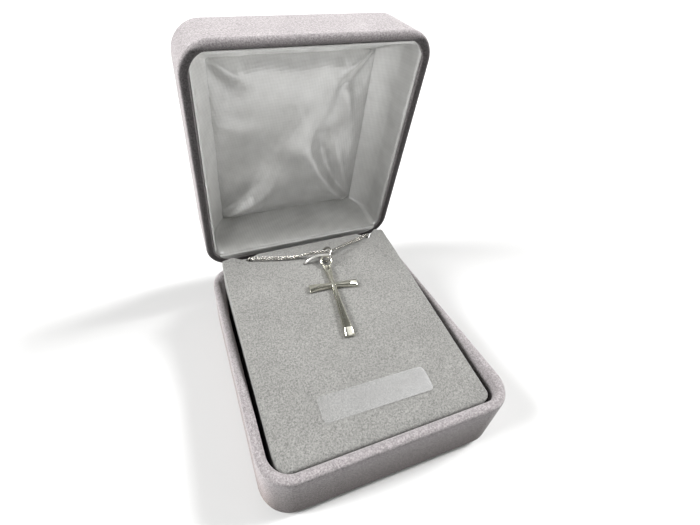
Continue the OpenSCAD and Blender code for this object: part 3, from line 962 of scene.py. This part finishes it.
# Section of the lip that covers the gap at the hinge: distance from the hinge and depth from the rim
LIP_SECTION = [
    (2.3, 0.4), (2.3, 0.22), (2.45, 0.12), (2.8, 0.08), (3.4, 0.08), (3.9, 0.13), (4.25, 0.3),
    (4.42, 0.62), (4.45, 1.0), (4.2, 1.0), (4.0, 0.6), (3.6, 0.42), (3.0, 0.4),
]
LIP_STATIONS = 60
LIP_SAG = 0.05
SHELL_CORNER_AT = 8.0
SHELL_INNER_R = 5.3
# Depths of the loops of points round the mouth, down the inside of the walls and up the outside
MOUTH_DEPTHS = [0.85, 0.95, 1.1, 1.35, 1.7, 2.1]
WALL_DEPTHS = np.linspace(2.5, 15.8, 28)
OUTER_DEPTHS = [15.8, 12.5, 8.9, 1.0]
MOUTH_FLARE = 1.15
MOUTH_RIGHT_INSET = 0.0029
WALL_EASE = 1.3
CORNER_GROWTH = 1.4
WALL_SLACK = 0.00015
WALL_WAVE = 0.00009
WALL_RIPPLE = 0.00004
WAVES_FADE_IN = (0.6, 4)


def hinge_lip():
    """Satin lip along the hinge, rounded off with the shell's corners."""
    distance, depth = np.array(LIP_SECTION, float).T
    reach = np.sqrt(np.clip(SHELL_INNER_R ** 2 - (SHELL_CORNER_AT - distance) ** 2, 0, None))
    half = HALF_WIDTH / MM - SHELL_CORNER_AT + reach
    rings = []
    for share in np.linspace(-1, 1, LIP_STATIONS):
        sag = LIP_SAG * math.sin(share * 19) * (1 - abs(share))
        height = RIM_HALF_GAP + (depth + sag) * MM
        rings.append(np.column_stack([share * half * MM, -distance * MM, height]))
    return skin(rings, caps=True)


def lid_loop(depth, grow=0.0):
    """Loop of points round the lining at a depth in millimetres, in the shut lid's plane."""
    rows = np.array(LINING_ROWS, float).T
    ease = min(WALL_EASE, depth - rows[0][0], rows[0][-1] - depth)
    near = (depth - ease, depth, depth, depth + ease)
    side, back, front, radius = (np.mean(np.interp(near, rows[0], row)) * MM - grow for row in rows[1:])
    x, y = HALF_WIDTH - side, front - BOX_DEPTH
    loop = rounded_loop(-x, x, y, -back, radius + CORNER_GROWTH * grow, 14, 40)
    return np.column_stack([loop, np.full(len(loop), RIM_HALF_GAP + depth * MM)])


def wall_loop(depth):
    """The same on the inside of the satin, with its flared mouth and faint waves."""
    flare = LINING_T * MOUTH_FLARE * (1 - smooth_step(depth, 0.4, MOUTH_DEPTHS[-1])) ** 2
    loop = lid_loop(depth, flare)
    if depth <= MOUTH_DEPTHS[-1]:
        loop[:, 0] = np.minimum(loop[:, 0], HALF_WIDTH - MOUTH_RIGHT_INSET)
    x, y = loop[:, 0], loop[:, 1]
    wave = (
        WALL_WAVE * np.sin(x / 0.0051 + y / 0.0043 + depth * 0.15)
        + WALL_RIPPLE * np.sin(x / 0.0022 - y / 0.0027 + 1.3 + depth * 0.3)
    )
    out = loop[:, :2] - loop[:, :2].mean(axis=0)
    out /= np.linalg.norm(out, axis=1)[:, None]
    loop[:, :2] -= out * (WALL_SLACK + wave[:, None]) * smooth_step(depth, *WAVES_FADE_IN)
    return loop


def build_lining():
    inner = [wall_loop(depth) for depth in [*MOUTH_DEPTHS, *WALL_DEPTHS]]
    outer = [lid_loop(depth, LINING_T) for depth in OUTER_DEPTHS]
    points, faces = joined([skin(inner + outer, wrap=True), hinge_lip()])
    mesh = outward_mesh("satin_walls", moved(in_lid, points), faces)
    make_piece(mesh, satin, LID, "lid_lining", sharp=60)


build_lining()


# Padded satin panel at the lining's foot: puffed, with folds pulled from its corners. It is in
# millimetres.

PANEL_EDGE = 16.05
PANEL_BACK = 17.1
PANEL_PUFF = 1.9
PUFF_REACH = 3.4
PANEL_CORNER = 4
# Inset of the panel at the sides, at the hinge and at the front
PANEL_INSET = (7.6, 6.9, 8.4)
# Rows of points on the panel: places near its edges, then the step between the others
PANEL_ENDS = [0, 0.15, 0.4, 0.8]
PANEL_STEP = 0.45
# Where the hollow beside a fold lies and how wide it is, as shares of the fold's own width
HOLLOW_AT = 1.9
HOLLOW_WIDTH = 1.25
FOLDS_REACH = 1.2
CREASE = 0.05
# Folds: a route of places across and up from the hinge, its width, its height and the share
# of it that the hollow beside it has: on the left of the route, or on the right where it is negative
PANEL_FOLDS = [
    ([(23.6, 62.8), (18.1, 58.9), (11.5, 52.6)], 2.3, 2.2, 0.9),
    ([(17.0, 51.0), (17.9, 45.5), (18.6, 36.0)], 1.9, 1.0, -0.6),
    ([(22.4, 6.8), (14.2, 15.6), (9.1, 22.6), (5.2, 30.5), (3.8, 38.0), (4.8, 46.0)], 2.7, 2.1, -0.7),
    ([(24.8, 8.0), (19.0, 20.0), (15.5, 30.0), (13.5, 38.0)], 1.7, 0.8, -0.1),
    ([(-23.8, 62.6), (-18.3, 58.1), (-12.0, 52.5)], 2.4, 1.6, -0.7),
    ([(-25.0, 6.8), (-15.0, 12.0), (-4.2, 19.5)], 2.4, 1.6, 0.7),
    ([(-24.6, 44.0), (-17.5, 41.0), (-10.0, 36.0)], 2.4, 0.4, 0.5),
]
# Broad swells and hollows: place across and up from the hinge, size and height
PANEL_SWELLS = [
    (1.5, 51.0, 8.0, 1.5),
    (-11.0, 29.0, 9.0, -2.2),
    (0.5, 32.0, 5.0, 1.2),
    (12.5, 37.0, 5.5, -0.4),
    (17.0, 15.5, 3.4, -0.6),
]


def fold_height(x, v, route, width, height, hollow):
    """Rounded ridge along a route with a hollow beside it, fading out at its far end."""
    best = np.full(x.shape, math.inf)
    share = np.zeros(x.shape)
    side = np.ones(x.shape)
    legs = len(route) - 1
    for i in range(legs):
        a, b = np.array(route[i], float), np.array(route[i + 1], float)
        run = b - a
        t = np.clip(((x - a[0]) * run[0] + (v - a[1]) * run[1]) / (run @ run), 0, 1)
        away = np.hypot(x - a[0] - t * run[0], v - a[1] - t * run[1])
        left = np.sign(run[0] * (v - a[1]) - run[1] * (x - a[0]))
        side = np.where(away < best, left, side)
        share = np.where(away < best, (i + t) / legs, share)
        best = np.minimum(best, away)
    spread = width * (0.55 + 0.9 * share)
    beside = side * best - math.copysign(HOLLOW_AT, hollow) * spread
    dip = abs(hollow) * np.exp(-(beside / (HOLLOW_WIDTH * spread)) ** 2)
    return height * (np.exp(-(best / spread) ** 2) - dip) * (1 - smooth_step(share, 0.5, 1.0))


def smoothed(field, passes=4):
    """A grid of values with its sharpest corners eased."""
    for _ in range(passes):
        wide = np.pad(field, 1, mode="edge")
        field = (wide[:-2, 1:-1] + 2 * wide[1:-1, 1:-1] + wide[2:, 1:-1]) / 4
        wide = np.pad(field, 1, mode="edge")
        field = (wide[1:-1, :-2] + 2 * wide[1:-1, 1:-1] + wide[1:-1, 2:]) / 4
    return field


def panel_top():
    """Grid of points on the cushion in millimetres: across, up from the hinge and depth from the rim."""
    side, low, front = PANEL_INSET
    half_x = HALF_WIDTH / MM - side
    high = BOX_DEPTH / MM - front
    x, v = np.meshgrid(
        near_edges(-half_x, half_x, PANEL_STEP, PANEL_ENDS), near_edges(low, high, PANEL_STEP, PANEL_ENDS)
    )
    from_side = half_x - np.abs(x)
    from_end = np.minimum(v - low, high - v)
    from_edge = np.minimum(from_side, from_end)
    corner = np.hypot(*(np.clip(PANEL_CORNER - d, 0, PANEL_CORNER) for d in (from_side, from_end)))
    from_edge = np.minimum(from_edge, np.clip(PANEL_CORNER - corner, 0, None) + 0.15 * from_edge)
    puff = PANEL_PUFF * (1 - np.exp(-from_edge / PUFF_REACH))
    folds = sum(fold_height(x, v, *fold) for fold in PANEL_FOLDS)
    for at_x, at_v, size, height in PANEL_SWELLS:
        folds = folds + height * np.exp(-((x - at_x) ** 2 + (v - at_v) ** 2) / size ** 2)
    creases = CREASE * np.sin(x * 1.9 + 1.2 * np.sin(v * 0.4)) * np.sin(v * 0.7 + 0.8)
    relief = (smoothed(folds) + creases) * (1 - np.exp(-from_edge / FOLDS_REACH))
    return x, v, PANEL_EDGE - puff - relief


def build_panel():
    x, v, depth = panel_top()
    top = np.column_stack([x.ravel() * MM, -v.ravel() * MM, RIM_HALF_GAP + depth.ravel() * MM])
    rim = grid_rim(*x.shape)
    lower = top[rim]
    lower[:, 2] = RIM_HALF_GAP + PANEL_BACK * MM
    below = list(range(len(top), len(top) + len(rim)))
    faces = [*grid_faces(*x.shape), *skirt_faces(rim, below), tuple(below)]
    mesh = outward_mesh("satin_cushion", moved(in_lid, np.vstack([top, lower])), faces)
    panel = make_piece(mesh, satin, LID, "lid_panel", sharp=70)


build_panel()


# Floor, light and camera

FLOOR_HALF = 4.0
FLOOR_PATCH = 0.4
# Soft lights: direction, degrees from it that are fully lit, degrees where the light ends, brightness
SOFT_LIGHTS = [
    ((0.7, 0.0, 0.71), 5, 12, 65.0),
    ((-0.78, 0.1, 0.62), 5, 13, 58.0),
    ((-0.62, -0.7, 0.35), 6, 13, 8.5),
    ((0.78, -0.6, 0.15), 6, 13, 3.5),
    ((0.38, -0.13, 0.915), 9, 17, 1.1),
    ((0.7, 0.4, 0.6), 4, 9, 1.15),
]
ROOM_LIGHT = (0.16, 0.16, 0.15)
CAMERA_AT = (-0.03695, -0.06341, 0.10726)
CAMERA_AZIMUTH = -20.214
CAMERA_ELEVATION = 38.61
CAMERA_ROLL = 1.655
PHOTO_WIDTH = 700
FOCAL_PIXELS = 379.0
SENSOR = 36.0
CAMERA_SHIFT = (0.0710, -0.0276)
NEAREST_SEEN = 0.005


def build_floor():
    look = Look("pale_floor")
    tone = look.ramp(look.noise(FLOOR_PATCH), [(0.3, (0.55, 0.55, 0.55)), (0.7, (0.57, 0.57, 0.57))])
    look.wire(tone, "Base Color")
    look.set(Roughness=0.9, Specular_IOR_Level=0.1)
    mesh = bpy.data.meshes.new("floor")
    h = FLOOR_HALF
    mesh.from_pydata([(-h, -h, 0), (h, -h, 0), (h, h, 0), (-h, h, 0)], [], [(0, 1, 2, 3)])
    mesh.materials.append(look.material)
    plain_object("floor", mesh)


def build_light():
    """A dim room with round soft lights in its walls: two strong ones high on the right and the left."""
    world = bpy.data.worlds.new("studio")
    world.use_nodes = True
    nodes, links = world.node_tree.nodes, world.node_tree.links
    direction = nodes.new("ShaderNodeTexCoord").outputs["Generated"]
    total = None
    for towards, full, end, brightness in SOFT_LIGHTS:
        dot = nodes.new("ShaderNodeVectorMath")
        dot.operation = "DOT_PRODUCT"
        links.new(direction, dot.inputs[0])
        dot.inputs[1].default_value = Vector(towards).normalized()
        lit = nodes.new("ShaderNodeMapRange")
        lit.interpolation_type = "SMOOTHSTEP"
        links.new(dot.outputs["Value"], lit.inputs["Value"])
        lit.inputs["From Min"].default_value = math.cos(math.radians(end))
        lit.inputs["From Max"].default_value = math.cos(math.radians(full))
        lit.inputs["To Max"].default_value = brightness
        if total is None:
            total = lit.outputs["Result"]
        else:
            add = nodes.new("ShaderNodeMath")
            links.new(total, add.inputs[0])
            links.new(lit.outputs["Result"], add.inputs[1])
            total = add.outputs[0]
    links.new(total, nodes["Background"].inputs["Color"])
    room = nodes.new("ShaderNodeBackground")
    room.inputs["Color"].default_value = (*ROOM_LIGHT, 1)
    both = nodes.new("ShaderNodeAddShader")
    links.new(nodes["Background"].outputs[0], both.inputs[0])
    links.new(room.outputs[0], both.inputs[1])
    links.new(both.outputs[0], nodes["World Output"].inputs["Surface"])
    bpy.context.scene.world = world


def build_camera():
    a, e, r = (math.radians(d) for d in (CAMERA_AZIMUTH, CAMERA_ELEVATION, CAMERA_ROLL))
    back = Vector((math.sin(a) * math.cos(e), -math.cos(a) * math.cos(e), math.sin(e)))
    right = Vector((-back.y, back.x, 0)).normalized()
    up = back.cross(right)
    across = right * math.cos(r) + up * math.sin(r)
    rise = up * math.cos(r) - right * math.sin(r)
    data = bpy.data.cameras.new("camera")
    data.sensor_fit = "HORIZONTAL"
    data.sensor_width = SENSOR
    data.lens = SENSOR * FOCAL_PIXELS / PHOTO_WIDTH
    data.shift_x, data.shift_y = CAMERA_SHIFT
    data.clip_start = NEAREST_SEEN
    camera = bpy.data.objects.new("camera", data)
    camera.matrix_world = Matrix((across, rise, back)).transposed().to_4x4()
    camera.location = CAMERA_AT
    bpy.context.scene.collection.objects.link(camera)
    bpy.context.scene.camera = camera


build_floor()
build_light()
build_camera()
bpy.context.scene.view_settings.view_transform = "Standard"

bpy.context.view_layer.update()
